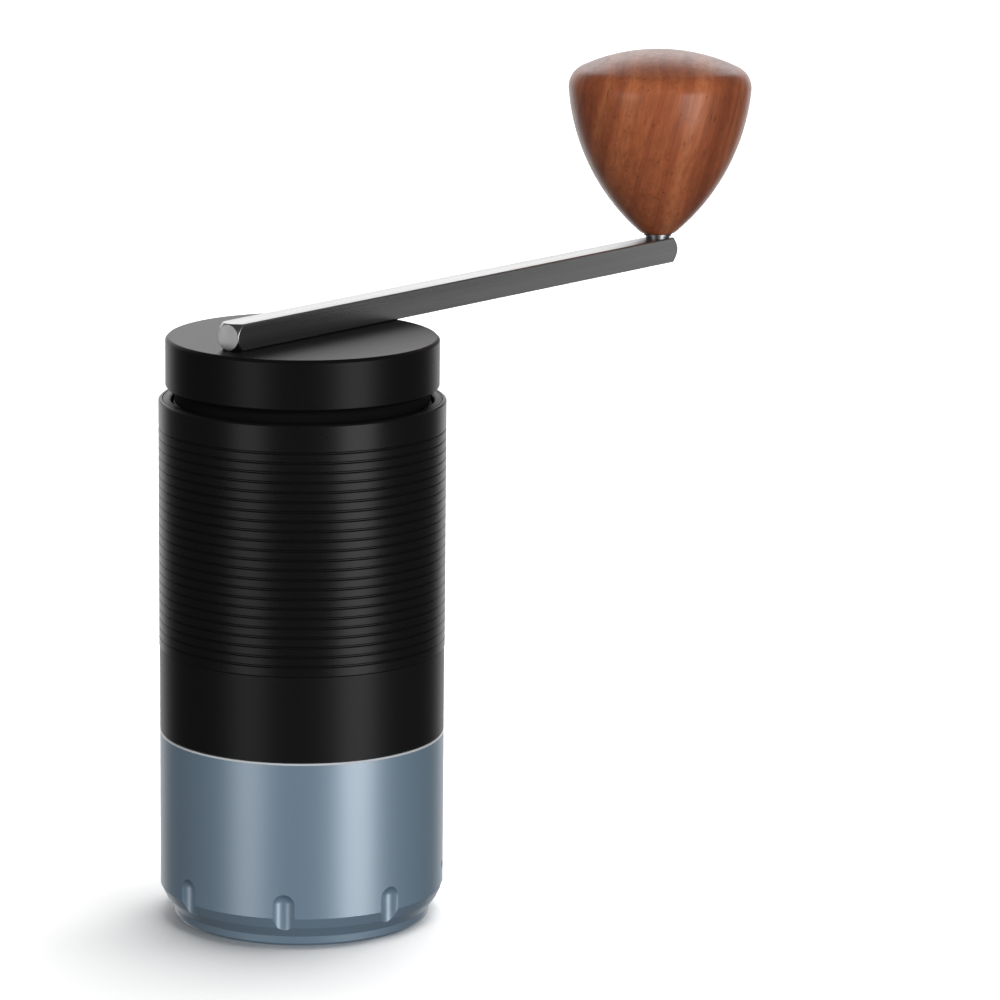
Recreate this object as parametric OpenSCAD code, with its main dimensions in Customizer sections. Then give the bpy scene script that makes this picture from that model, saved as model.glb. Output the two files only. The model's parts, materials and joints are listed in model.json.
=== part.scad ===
// Hand crank coffee grinder with a conical burr set in a slim round body.
// Millimetres. The origin is on the grinder's axis, at the underside of the catch cup.
// +Z is up and the crank arm points along +X.

/* [Body] */
// Outside diameter over the grip sleeve
body_d = 55; // [52:0.5:70]
// Height of the catch cup
cup_h = 36.5; // [34:0.5:60]
// Height of the plain band above the cup
band_h = 16.75; // [14:0.25:30]
// Length of the grip sleeve
grip_h = 48.25; // [40:0.25:80]
// Wall of the body tube where the sleeve covers it
tube_wall = 1.6; // [1.2:0.1:2.4]
// Thickness of the grip sleeve
sleeve_wall = 0.75; // [0.7:0.05:1.5]
// How far the plain band and the cup stand inside the sleeve's surface
band_inset = 0.1; // [0:0.05:0.4]

/* [Grip sleeve] */
// Number of fine grooves round the sleeve
groove_count = 23; // [8:1:23]
// Distance between two grooves
groove_pitch = 1.857; // [1.5:0.001:1.9]
// Width of one groove
groove_w = 0.5; // [0.3:0.05:0.7]
// Depth of one groove
groove_depth = 0.3; // [0.1:0.05:0.4]
// Plain length above the first groove
groove_start = 5.4; // [3:0.1:8]

/* [Catch cup] */
// Wall of the cup at its mouth
cup_wall = 2.4; // [2.2:0.1:3]
// Thickness of the cup's floor
cup_floor = 2.5; // [2:0.1:4]
// How far the foot stands inside the cup's side
foot_inset = 2.5; // [2:0.1:4]
// Height of the foot's upright wall
foot_wall_h = 1.95; // [1:0.05:3]
// Height of the undercut's upper edge
foot_h = 6.1; // [4:0.1:8]
// Number of finger notches round the foot
notch_count = 8; // [4:1:12]
// Radius of the ball cutter that makes a notch
notch_r = 2.3; // [1.5:0.1:3]
// Depth of a notch
notch_depth = 1.4; // [0.8:0.1:1.4]
// Height of a notch's round top
notch_top = 11; // [9:0.5:14]
// Angle of the first notch from the crank arm
notch_angle = 33.2; // [0:0.1:45]
// Length of the spigot that plugs into the cup's mouth
spigot_h = 5.5; // [4:0.1:7]

/* [Lid] */
// Thickness of the lid's disc
lid_t = 9.85; // [7:0.05:14]
// Visible gap between the disc and the rim
lid_gap = 2.1; // [1:0.1:4]
// How far the disc stands inside the sleeve's surface
lid_inset = 1.35; // [0.5:0.05:2]
// Depth of the neck below the disc
neck_h = 6.1; // [5:0.1:9]
// Thickness of the lid's top wall
lid_top = 2.4; // [2:0.1:4]
// Wall of the lid's neck
neck_wall = 3.2; // [2.5:0.1:4]

/* [Crank arm] */
// Side of the square bar
arm_side = 5.2; // [5.2:0.1:8]
// Distance from the grinder's axis to the knob's axis
arm_reach = 113.3; // [90:0.1:150]
// Length of the bar beyond the knob's axis
arm_tip = 3.7; // [3.6:0.1:8]
// Length of the bar behind the grinder's axis
arm_tail = 21.6; // [19:0.1:24]
// Radius of the turned end faces
arm_face_r = 2.5; // [2:0.1:2.6]
// Length of the turned cone at each end
arm_cone = 1.4; // [0.5:0.1:3]

/* [Knob] */
// Radius of the knob where it is widest, before its shoulder is rounded
knob_r = 18.86; // [12:0.01:24]
// Height of the knob
knob_h = 38; // [30:0.1:50]
// Height of the knob's shoulder above its foot
knob_shoulder_h = 29.9; // [24:0.1:32]
// Radius of the knob's foot
knob_foot_r = 3.45; // [3.4:0.05:5]
// Radius of the arc down the knob's side
knob_side_arc = 44.2; // [30:0.1:80]
// Radius of the domed top
knob_dome_arc = 38.5; // [25:0.1:80]
// Radius that rounds the shoulder
knob_round = 4.5; // [2:0.1:6]
// Gap between the arm and the knob's foot
knob_gap = 1; // [0.8:0.05:3]
// Radius of the knob's pin
knob_pin_r = 1.9; // [1.8:0.05:2.2]

/* [Burrs] */
// Outside diameter of the outer burr
burr_d = 38; // [36:0.5:38]
// Height of the outer burr
burr_h = 16; // [12:0.5:18]
// Number of teeth inside the outer burr
outer_teeth = 24; // [16:1:36]
// Number of fine teeth at the inner burr's base
inner_teeth = 36; // [24:1:48]
// Number of breaking flutes on the inner burr
flute_count = 5; // [3:1:7]
// Radial gap between the tooth tips at the rest setting
grind_gap = 0.4; // [0.35:0.05:1]
// Chord of the flats on the outer burr
burr_flat = 12.7; // [8:0.1:14]

/* [Shaft and adjustment] */
// Diameter of the shaft in its bearings
shaft_d = 8; // [8:0.5:9]
// Width across the flats of the drive hexagon
hex_af = 6; // [5:0.1:6.4]
// Radius of the threaded lower end
thread_r = 3; // [2.5:0.1:3.2]
// How far the burr can rise from its rest setting
adjust_up = 1; // [0.5:0.1:1]
// How far the burr can drop from its rest setting
adjust_down = 2; // [1:0.1:2.5]
// Radius of the adjusting dial
dial_r = 13.5; // [11.5:0.1:15]
// Height of the adjusting dial
dial_h = 10; // [9:0.1:12]
// Number of clicks in a full turn
click_count = 12; // [8:1:16]

/* [Bearings] */
// Outside diameter of a ball bearing
bearing_d = 16; // [16:0.5:19]
// Width of a ball bearing
bearing_w = 5; // [4:0.5:6]
// Number of balls
ball_count = 9; // [7:1:9]
// Radius of a ball
ball_r = 1.2; // [1:0.05:1.25]

/* [Fits] */
// Radial clearance where one piece turns or slides in another
running = 0.05; // [0.02:0.01:0.1]
// Clearance between surfaces that never touch
free_gap = 0.3; // [0.2:0.05:0.5]
// Radial clearance between the spigot and the cup
cup_clearance = 0.15; // [0.1:0.05:0.3]
// Clearance on each flat of the drive hexagon
hex_clearance = 0.1; // [0.05:0.05:0.2]

/* [Hidden] */
$fn = 96;
over = 1;

// Radii of the body, from the sleeve inwards
body_r = body_d / 2;
band_r = body_r - band_inset;
sleeve_in_r = body_r - sleeve_wall;
tube_r = sleeve_in_r - running;
tube_in_r = tube_r - tube_wall;
support_r = tube_in_r - running;
cup_in_r = band_r - cup_wall;
spigot_r = cup_in_r - cup_clearance;

// Heights of the body
band_z = cup_h;
grip_z = cup_h + band_h;
rim_z = grip_z + grip_h;
lid_z = rim_z + lid_gap;
lid_top_z = lid_z + lid_t;
edge = 0.3;

// Catch cup: the mouth is stepped to hold the keeper ring
keeper_h = 1.5;
keeper_wall = 2.2;
keeper_ledge = 0.75;
spigot_z = cup_h - spigot_h;
keeper_z = spigot_z - free_gap - keeper_h;
cup_bowl_r = cup_in_r - keeper_ledge;
bowl_corner = 6.5;
bowl_corner_w = 3.4;
bowl_cone_r = cup_bowl_r - bowl_corner_w;
foot_r = band_r - foot_inset;
foot_edge = 0.35;
cove_z = (foot_wall_h + foot_h) / 2;
cove_bulge = 0.25;
cove_r = (foot_r + band_r) / 2 + cove_bulge;

// Magnets in the spigot's end face
magnet_count = 6;
magnet_r = 1.1;
magnet_h = 2;
magnet_recess = 0.05;
spigot_wall = 3.2;
magnet_ring_r = spigot_r - spigot_wall / 2;

// Outer burr and its seat in the lower support
burr_r = burr_d / 2;
burr_lift = 1.5;
burr_z = cup_h + burr_lift;
burr_top_z = burr_z + burr_h;
throat_h = 6;
throat_z = burr_z + throat_h;
throat_r = 14.2;
mouth_scale = 1.17;
outlet_scale = 1.1;
tooth_depth = 1.7;
funnel_twist = 18;
outlet_twist = 8;
burr_groove_h = 2;
burr_groove_depth = 0.4;
burr_groove_drop = 4.32;
burr_groove_pitch = 6.56;
throat_core = 2;
burr_flat_depth = burr_r - sqrt(burr_r * burr_r - burr_flat * burr_flat / 4);
burr_chamfer = 0.6;

// Lower support: seat, lip, funnel and bearing hub
seat_r = burr_r + running;
lip_w = 1.5;
lip_r = burr_r - lip_w;
lip_h = 0.6;
funnel_h = 6.5;
funnel_z = burr_top_z + lip_h;
funnel_top_z = funnel_z + funnel_h;
funnel_top_r = support_r - 1.5;
bearing_lift = 6.5;
retainer_step = 0.8;
lower_bearing_z = burr_top_z + bearing_lift;
lower_support_top_z = lower_bearing_z + bearing_w + retainer_step;
relief_r = (seat_r + support_r) / 2 + 0.5;
relief_margin = 3;
hub_wall = 2;
bearing_r = bearing_d / 2;
hub_r = bearing_r + hub_wall;
hub_lip = 1;
hub_lip_r = bearing_r - 1.2;
spoke_root = 0.5;
spoke_w = 4;
spoke_count = 3;
spoke_angle = 60;
retainer_h = 0.7;
retainer_r = bearing_r - 1.1;

// Radial screws that hold the two supports in the tube
frame_screw_r = 1.25;
frame_screw_in = 2.4;
frame_screw_socket_r = 0.7;
frame_screw_socket_h = 1.2;
lower_screw_lift = 1.2;
lower_screw_z = funnel_top_z + lower_screw_lift;

// Set screws that press on the outer burr's flats
set_screw_r = 1.5;
set_screw_z = burr_z + burr_h / 2;
set_screw_in_r = burr_r - burr_flat_depth;
set_screw_out_r = relief_r - 0.4;

// Upper support
upper_support_h = bearing_w + hub_lip + retainer_step + 1.2;
upper_support_drop = neck_h + 1.4;
upper_support_top_z = rim_z - upper_support_drop;
upper_support_z = upper_support_top_z - upper_support_h;
upper_bearing_z = upper_support_top_z - bearing_w - retainer_step;
upper_support_wall = 2.4;
upper_screw_z = upper_support_z + upper_support_h / 2;

// Ball bearings
race_shift = 0.1;
race_mid_r = (shaft_d / 2 + bearing_r) / 2 + race_shift;
race_gap = 0.75;
ball_clearance = 0.03;
cage_h = 3.6;
cage_t = 0.7;

// Inner burr
journal_r = shaft_d / 2;
inner_burr_lift = 0.2;
inner_burr_z = burr_z + inner_burr_lift;
inner_top_z = burr_top_z + lip_h;
inner_base_r = throat_r * outlet_scale - grind_gap;
inner_cone_over = 0.3;
inner_cone_h = throat_h + inner_cone_over;
inner_cone_scale = (throat_r - grind_gap) / inner_base_r;
inner_tooth_depth = 0.9;
inner_twist = 16;
flute_sink = 0.6;
flute_z = throat_z - flute_sink;
flute_base_r = throat_r - grind_gap - 0.3;
flute_top_r = journal_r + 4.2;
flute_valley = 0.66;
flute_twist = 62;
burr_bore_step = 0.2;
burr_bore_r = journal_r - burr_bore_step;
burr_shaft_r = burr_bore_r - running;

// Click plate under the inner burr, and the dial under that
plate_t = 1.6;
plate_z = inner_burr_z - plate_t;
plate_r = 11;
plate_recess = 0.3;
click_r = 9;
dimple_r = 1.4;
dimple_depth = 0.5;
plate_screw_r = 0.8;
plate_screw_head_r = 1.3;
plate_screw_head_h = 0.9;
plate_screw_place = 6.2;
plate_screw_len = 4.5;

// Hexagonal sockets in screw heads, as shares of the head
socket_share = 0.45;
socket_depth = 0.6;

// Lower end of the shaft: stop screw and washer limit the dial
dial_z = plate_z - dial_h;
dial_hub_r = 4.8;
stop_recess_r = 6;
stop_washer_t = 0.6;
stop_washer_r = 4.4;
stop_head_h = 1.4;
stop_head_r = 2.75;
stop_shank_r = 1.5;
stop_shank_h = 6;
stop_washer_z = dial_z + stop_head_h + free_gap;
shaft_end_z = stop_washer_z + stop_washer_t;
stop_recess_z = shaft_end_z + adjust_down + free_gap;
dial_flutes = 16;
dial_flute_r = 1.6;
dial_flute_depth = 0.7;
detent_r = 1;
detent_gap = 0.1;
detent_spring_h = 3;
detent_wire_r = 0.2;
detent_mean_r = detent_r - detent_wire_r - running;
detent_ball_z = plate_z - detent_gap - detent_r;

// Drive pin through the shaft and its slot in the inner burr
drive_pin_r = 1;
drive_pin_l = shaft_d + 2;
drive_pin_lift = 0.4;
drive_pin_z = inner_burr_z + adjust_up + drive_pin_r + drive_pin_lift;
drive_slot_z = drive_pin_z + drive_pin_r + adjust_down + free_gap;

// Shaft
shoulder_r = journal_r + 1;
thread_over = 0.5;
thread_top_z = plate_z + adjust_up + thread_over;
clip_gap = 0.1;
clip_z = upper_bearing_z + bearing_w + clip_gap;
clip_h = 0.9;
clip_r = journal_r + 1.6;
clip_groove_r = journal_r - 0.4;
journal_end = 0.3;
hex_z = clip_z + clip_h + 2 * journal_end;
hex_clear_h = 0.6;
spring_seat_t = 0.6;
spring_seat_r = journal_r + 1.8;
spring_wire_r = 0.45;
spring_turns = 3.5;
spring_mean_r = journal_r + spring_wire_r + 0.5;
spring_top_z = lower_bearing_z - spring_seat_t;

// Lid, hub and its screws
lid_r = body_r - lid_inset;
neck_clearance = 0.7;
neck_r = tube_in_r - neck_clearance;
neck_z = lid_z - neck_h;
neck_in_r = neck_r - neck_wall;
cavity_z = lid_top_z - lid_top;
seal_wire_r = 0.75;
seal_drop = 0.4;
seal_z = neck_z + neck_h / 2 - seal_drop;
seal_r = tube_in_r - free_gap - seal_wire_r;
hub_barrel_r = hex_af / 2 + 3.2;
hub_flange_r = hub_barrel_r + 4.8;
hub_flange_t = 2;
hub_lift = 1.5;
hub_bottom_z = hex_z + hub_lift;
hub_screw_count = 4;
hub_screw_r = 1.25;
hub_screw_place = hub_flange_r - 2.5;
hub_screw_head_r = 2.1;
hub_screw_head_h = 1.3;
hub_screw_skin = 0.8;
hub_screw_bite = lid_top - hub_screw_skin;
hex_drop = 1.4;
hex_end_z = cavity_z - hex_drop;
socket_top_z = hex_end_z + hex_clear_h;

// Crank arm
arm_z = lid_top_z;
arm_top_z = arm_z + arm_side;
arm_turned_share = 0.68;
arm_turned_r = arm_side * arm_turned_share;
arm_screw_r = 1.5;
arm_screw_place = 16;
arm_screw_head_r = 2.75;
arm_screw_head_h = 2;
arm_screw_bite = arm_side - 2;

// Knob, pin and bush
knob_z = arm_top_z + knob_gap;
knob_top_z = knob_z + knob_h;
knob_foot_edge = 0.3;
bush_wall = 0.95;
bush_in_r = knob_pin_r + running;
bush_r = bush_in_r + bush_wall;
bush_share = 0.6;
bush_h = knob_h * bush_share;
pin_spigot_r = 1.5;
pin_collar_r = knob_pin_r + 0.55;
washer_h = 0.4;
washer_r = knob_pin_r + 0.95;
washer_z = knob_z - running - washer_h;
pin_groove_r = knob_pin_r - 0.4;
knob_clip_h = 0.7;
knob_clip_z = knob_z + bush_h + 0.15;
pin_tip = 1;
pin_top_z = knob_clip_z + knob_clip_h + pin_tip;
knob_bore_top_z = pin_top_z + pin_tip;

// ---------------------------------------------------------------- helpers

module rod(r, z0, z1) {
    translate([0, 0, z0]) cylinder(r = r, h = z1 - z0);
}

module ring(r_out, r_in, z0, z1) {
    difference() {
        rod(r_out, z0, z1);
        rod(r_in, z0 - over, z1 + over);
    }
}

// Copies the children round the axis
module around(count, first = 0) {
    for (i = [0 : count - 1]) rotate([0, 0, first + 360 * i / count]) children();
}

// A cylinder that points outwards along +X, from radius x0 to radius x1
module spike(r, x0, x1, z) {
    translate([x0, 0, z]) rotate([0, 90, 0]) cylinder(r = r, h = x1 - x0, $fn = 32);
}

// Saw teeth round a circle: a steep flank, then a long one
function saw(count, tip_r, root_r, flank = 0.16) = [
    for (i = [0 : count - 1], k = [0, 1])
        let (a = 360 * (i + k * flank) / count, r = k == 0 ? tip_r : root_r)
        [r * cos(a), r * sin(a)]
];

// Curved flutes round a circle: each rises slowly to a ridge and then falls
function flutes(count, ridge_r, valley_r, steps = 8) = [
    for (i = [0 : count - 1], k = [0 : steps - 1])
        let (t = k / steps,
             a = 360 * (i + t) / count,
             up = pow(min(t / 0.72, 1), 1.7),
             down = max((t - 0.72) / 0.28, 0),
             r = valley_r + (ridge_r - valley_r) * (up - down))
        [r * cos(a), r * sin(a)]
];

// Points of an arc from angle a0 to angle a1
function arc(centre, r, a0, a1, steps) = [
    for (i = [0 : steps]) let (a = a0 + (a1 - a0) * i / steps) centre + r * [cos(a), sin(a)]
];

// Centre of the circle of radius r through p and q, on the left of the line from p to q
function arc_centre(p, q, r) =
    let (m = (p + q) / 2, d = q - p, l = norm(d), n = [-d[1], d[0]] / l)
    m + n * sqrt(r * r - l * l / 4);

// The outer point at distance ra from a and rb from b
function meet(a, ra, b, rb) =
    let (d = b - a, l = norm(d), e = d / l, x = (ra * ra - rb * rb + l * l) / (2 * l))
    a + e * x + [-e[1], e[0]] * sqrt(ra * ra - x * x);

// A round wire wound about the axis, closed at both ends
module coil(mean_r, wire_r, z0, z1, turns, per_turn, sides) {
    steps = ceil(turns * per_turn);
    rise = (z1 - z0 - 2 * wire_r) / steps;
    points = [
        for (i = [0 : steps], j = [0 : sides - 1])
            let (a = 360 * turns * i / steps, b = 360 * j / sides, r = mean_r + wire_r * cos(b))
            [r * cos(a), r * sin(a), z0 + wire_r + rise * i + wire_r * sin(b)]
    ];
    skin = [
        for (i = [0 : steps - 1], j = [0 : sides - 1], k = [0, 1])
            let (p = i * sides + j, q = i * sides + (j + 1) % sides)
            k == 0 ? [p, q, q + sides] : [p, q + sides, p + sides]
    ];
    first_cap = [for (j = [0 : sides - 1]) sides - 1 - j];
    last_cap = [for (j = [0 : sides - 1]) steps * sides + j];
    polyhedron(points = points, faces = concat(skin, [first_cap, last_cap]), convexity = 10);
}

// ---------------------------------------------------------------- catch cup

module cup_side() {
    rotate_extrude() polygon([
        [0, 0],
        [foot_r - foot_edge, 0],
        [foot_r, foot_edge],
        [foot_r, foot_wall_h],
        [cove_r, cove_z],
        [band_r, foot_h],
        [band_r, cup_h - edge],
        [band_r - edge, cup_h],
        [0, cup_h]
    ]);
}

module cup_hollow() {
    rotate_extrude() polygon([
        [0, cup_floor],
        [bowl_cone_r, cup_floor],
        [cup_bowl_r, cup_floor + bowl_corner],
        [cup_bowl_r, keeper_z],
        [cup_in_r, keeper_z],
        [cup_in_r, cup_h + over],
        [0, cup_h + over]
    ]);
}

module notch() {
    translate([band_r - notch_depth + notch_r, 0, 0]) {
        rod(notch_r, -over, notch_top - notch_r);
        translate([0, 0, notch_top - notch_r]) sphere(r = notch_r);
    }
}

module catch_cup() {
    color("#6f8aa0") difference() {
        cup_side();
        cup_hollow();
        around(notch_count, notch_angle) notch();
    }
}

module keeper_ring() {
    color("silver") ring(cup_in_r, cup_in_r - keeper_wall, keeper_z, keeper_z + keeper_h);
}

// ---------------------------------------------------------------- body

module body_tube() {
    color("#1c1c1d") difference() {
        rotate_extrude() polygon([
            [tube_in_r, band_z],
            [band_r - edge, band_z],
            [band_r, band_z + edge],
            [band_r, grip_z],
            [tube_r, grip_z],
            [tube_r, rim_z - edge / 2],
            [tube_r - edge / 2, rim_z],
            [tube_in_r + edge, rim_z],
            [tube_in_r, rim_z - edge]
        ]);
        around(spoke_count, spoke_angle) {
            spike(frame_screw_r, support_r - over, tube_r + over, lower_screw_z);
            spike(frame_screw_r, support_r - over, tube_r + over, upper_screw_z);
        }
    }
}

module grip_sleeve() {
    color("#1a1a1b") difference() {
        rotate_extrude() polygon([
            [sleeve_in_r, grip_z],
            [body_r - edge / 2, grip_z],
            [body_r, grip_z + edge / 2],
            [body_r, rim_z - edge],
            [body_r - edge, rim_z],
            [sleeve_in_r, rim_z]
        ]);
        for (i = [0 : groove_count - 1]) {
            z = rim_z - groove_start - i * groove_pitch;
            ring(body_r + over, body_r - groove_depth, z - groove_w / 2, z + groove_w / 2);
        }
    }
}

module cup_magnets() {
    color("silver") around(magnet_count) {
        translate([magnet_ring_r, 0, 0])
            rod(magnet_r, spigot_z + magnet_recess, spigot_z + magnet_recess + magnet_h);
    }
}

// ---------------------------------------------------------------- supports

// One spoke from the bearing hub to the support's ring
module spoke(z0, z1, r_end) {
    translate([bearing_r + over, -spoke_w / 2, z0]) cube([r_end - bearing_r - over, spoke_w, z1 - z0]);
}

// Bearing hub: a bore for the outer race above a lip
module hub_bore(z) {
    rod(bearing_r, z, z + bearing_w + 2 * over);
    rod(hub_lip_r, z - hub_lip - over, z + over);
}

module lower_support() {
    color("#8f9396") difference() {
        union() {
            rotate_extrude() polygon([
                [spigot_r - spigot_wall, spigot_z],
                [spigot_r - edge, spigot_z],
                [spigot_r, spigot_z + edge],
                [spigot_r, band_z],
                [support_r, band_z],
                [support_r, burr_z + relief_margin],
                [relief_r, burr_z + relief_margin],
                [relief_r, burr_top_z - relief_margin],
                [support_r, burr_top_z - relief_margin],
                [support_r, lower_support_top_z],
                [funnel_top_r, lower_support_top_z],
                [funnel_top_r, funnel_top_z],
                [lip_r, funnel_z],
                [lip_r, burr_top_z],
                [seat_r, burr_top_z],
                [seat_r, burr_z],
                [spigot_r - spigot_wall, burr_z]
            ]);
            rod(hub_r, lower_bearing_z - hub_lip, lower_support_top_z);
            around(spoke_count, spoke_angle)
                spoke(lower_bearing_z - hub_lip, lower_support_top_z, funnel_top_r + spoke_root);
        }
        hub_bore(lower_bearing_z);
        around(magnet_count)
            translate([magnet_ring_r, 0, 0])
            rod(magnet_r, spigot_z - over, spigot_z + magnet_recess + magnet_h);
        around(spoke_count, 0) spike(set_screw_r, seat_r - over, relief_r + over, set_screw_z);
        around(spoke_count, spoke_angle)
            spike(frame_screw_r, tube_r - frame_screw_in - tube_wall, support_r + over, lower_screw_z);
    }
}

module upper_support() {
    color("#8f9396") difference() {
        union() {
            ring(support_r, support_r - upper_support_wall, upper_support_z, upper_support_top_z);
            rod(hub_r, upper_bearing_z - hub_lip, upper_support_top_z);
            around(spoke_count, spoke_angle)
                spoke(upper_bearing_z - hub_lip, upper_support_top_z, support_r - upper_support_wall / 2);
        }
        hub_bore(upper_bearing_z);
        around(spoke_count, spoke_angle)
            spike(frame_screw_r, tube_r - frame_screw_in - tube_wall, support_r + over, upper_screw_z);
    }
}

// Headless screws through the tube into a support, under the sleeve
module frame_screws(z) {
    color("#3a3a3c") around(spoke_count, spoke_angle) difference() {
        spike(frame_screw_r, tube_r - frame_screw_in - tube_wall, tube_r - free_gap, z);
        translate([tube_r - free_gap - frame_screw_socket_h, 0, z]) rotate([0, 90, 0])
            cylinder(r = frame_screw_socket_r, h = frame_screw_socket_h + over, $fn = 6);
    }
}

module lower_support_screws() {
    frame_screws(lower_screw_z);
}

module upper_support_screws() {
    frame_screws(upper_screw_z);
}

// ---------------------------------------------------------------- bearings

module outer_race(z) {
    color("#c9ccd0") difference() {
        ring(bearing_r, race_mid_r + race_gap, z, z + bearing_w);
        translate([0, 0, z + bearing_w / 2]) rotate_extrude()
            translate([race_mid_r, 0]) circle(r = ball_r + ball_clearance);
    }
}

module inner_race(z) {
    color("#c9ccd0") difference() {
        ring(race_mid_r - race_gap, journal_r, z, z + bearing_w);
        translate([0, 0, z + bearing_w / 2]) rotate_extrude()
            translate([race_mid_r, 0]) circle(r = ball_r + ball_clearance);
    }
}

module balls(z) {
    color("#dfe2e5") around(ball_count)
        translate([race_mid_r, 0, z + bearing_w / 2]) sphere(r = ball_r);
}

module cage(z) {
    middle = z + bearing_w / 2;
    color("#d8cfa8") difference() {
        ring(race_mid_r + cage_t / 2, race_mid_r - cage_t / 2, middle - cage_h / 2, middle + cage_h / 2);
        around(ball_count) translate([race_mid_r, 0, middle]) sphere(r = ball_r + ball_clearance);
    }
}

module bearing_retainer(z) {
    color("#3a3a3c") ring(bearing_r, retainer_r, z + bearing_w, z + bearing_w + retainer_h);
}

module lower_outer_race() {
    outer_race(lower_bearing_z);
}

module lower_inner_race() {
    inner_race(lower_bearing_z);
}

module lower_bearing_balls() {
    balls(lower_bearing_z);
}

module lower_bearing_cage() {
    cage(lower_bearing_z);
}

module lower_bearing_retainer() {
    bearing_retainer(lower_bearing_z);
}

module upper_outer_race() {
    outer_race(upper_bearing_z);
}

module upper_inner_race() {
    inner_race(upper_bearing_z);
}

module upper_bearing_balls() {
    balls(upper_bearing_z);
}

module upper_bearing_cage() {
    cage(upper_bearing_z);
}

module upper_bearing_retainer() {
    bearing_retainer(upper_bearing_z);
}

// ---------------------------------------------------------------- burrs

// Toothed funnel above the throat of the outer burr
module burr_funnel() {
    h = burr_top_z - throat_z;
    translate([0, 0, throat_z])
        linear_extrude(height = h, scale = mouth_scale, twist = -funnel_twist, slices = 5)
        polygon(saw(outer_teeth, throat_r, throat_r + tooth_depth));
}

// Toothed outlet below the throat, which widens downwards
module burr_outlet() {
    translate([0, 0, throat_z]) mirror([0, 0, 1])
        linear_extrude(height = throat_h, scale = outlet_scale, twist = outlet_twist, slices = 3)
        polygon(saw(outer_teeth, throat_r, throat_r + tooth_depth));
}

module outer_burr() {
    color("#d4d6d8") difference() {
        rotate_extrude() polygon([
            [throat_r - throat_core, burr_z],
            [burr_r - burr_chamfer / 2, burr_z],
            [burr_r, burr_z + burr_chamfer / 2],
            [burr_r, burr_top_z - burr_chamfer],
            [burr_r - burr_chamfer, burr_top_z],
            [throat_r - throat_core, burr_top_z]
        ]);
        burr_funnel();
        burr_outlet();
        for (i = [0, 1]) {
            z = burr_top_z - burr_groove_drop - i * burr_groove_pitch;
            ring(burr_r + over, burr_r - burr_groove_depth, z - burr_groove_h / 2, z + burr_groove_h / 2);
        }
        around(spoke_count)
            translate([burr_r - burr_flat_depth, -burr_flat, burr_z - over])
            cube([burr_flat, 2 * burr_flat, burr_h + 2 * over]);
    }
}

module burr_set_screws() {
    color("#3a3a3c") around(spoke_count) difference() {
        spike(set_screw_r, set_screw_in_r, set_screw_out_r, set_screw_z);
        translate([set_screw_out_r - frame_screw_socket_h, 0, set_screw_z]) rotate([0, 90, 0])
            cylinder(r = frame_screw_socket_r, h = frame_screw_socket_h + over, $fn = 6);
    }
}

module inner_burr() {
    color("#d4d6d8") difference() {
        union() {
            translate([0, 0, inner_burr_z])
                linear_extrude(height = inner_cone_h, scale = inner_cone_scale,
                               twist = inner_twist, slices = 3)
                polygon(saw(inner_teeth, inner_base_r, inner_base_r - inner_tooth_depth));
            translate([0, 0, flute_z])
                linear_extrude(height = inner_top_z - flute_z, scale = flute_top_r / flute_base_r,
                               twist = flute_twist, slices = 10)
                polygon(flutes(flute_count, flute_base_r, flute_base_r * flute_valley));
        }
        rod(burr_bore_r, inner_burr_z - over, inner_top_z + over);
        translate([-drive_pin_l / 2 - free_gap, -drive_pin_r - running, inner_burr_z - over])
            cube([drive_pin_l + 2 * free_gap, 2 * (drive_pin_r + running),
                  drive_slot_z - inner_burr_z + over]);
        for (y = [-plate_screw_place, plate_screw_place])
            translate([0, y, 0]) rod(plate_screw_r, inner_burr_z - over, plate_z + plate_screw_len);
    }
}

// ---------------------------------------------------------------- adjustment

module click_plate() {
    color("#b9bcc0") difference() {
        ring(plate_r, burr_bore_r, plate_z, inner_burr_z);
        around(click_count)
            translate([click_r, 0, plate_z + dimple_depth - dimple_r]) sphere(r = dimple_r);
        for (y = [-plate_screw_place, plate_screw_place]) translate([0, y, 0]) {
            rod(plate_screw_r, plate_z - over, inner_burr_z + over);
            rod(plate_screw_head_r, plate_z - over, plate_z + plate_recess + plate_screw_head_h);
        }
    }
}

module click_plate_screws() {
    color("#3a3a3c") for (y = [-plate_screw_place, plate_screw_place]) translate([0, y, 0]) {
        rod(plate_screw_r, plate_z + plate_recess, plate_z + plate_screw_len);
        rod(plate_screw_head_r, plate_z + plate_recess, plate_z + plate_recess + plate_screw_head_h);
    }
}

module adjust_dial() {
    color("#232325") difference() {
        union() {
            rod(dial_hub_r, dial_z, plate_z);
            rotate_extrude() polygon([
                [0, dial_z],
                [dial_r - edge, dial_z],
                [dial_r, dial_z + edge],
                [dial_r, plate_z - free_gap - edge],
                [dial_r - edge, plate_z - free_gap],
                [0, plate_z - free_gap]
            ]);
        }
        rod(thread_r + running, dial_z - over, plate_z + over);
        rod(stop_recess_r, dial_z - over, stop_recess_z);
        around(dial_flutes)
            translate([dial_r + dial_flute_r - dial_flute_depth, 0, 0])
            rod(dial_flute_r, dial_z - over, plate_z);
        for (a = [90, 270]) rotate([0, 0, a]) translate([click_r, 0, 0])
            rod(detent_r + running, detent_ball_z - detent_r - detent_spring_h, plate_z);
    }
}

module detent_balls() {
    color("#dfe2e5") for (a = [90, 270]) rotate([0, 0, a])
        translate([click_r, 0, detent_ball_z]) sphere(r = detent_r);
}

module detent_springs() {
    top = detent_ball_z - detent_r;
    color("#b9bcc0") for (a = [90, 270]) rotate([0, 0, a]) translate([click_r, 0, 0])
        coil(detent_mean_r, detent_wire_r, top - detent_spring_h, top, 4, 12, 6);
}

// ---------------------------------------------------------------- shaft

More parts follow.
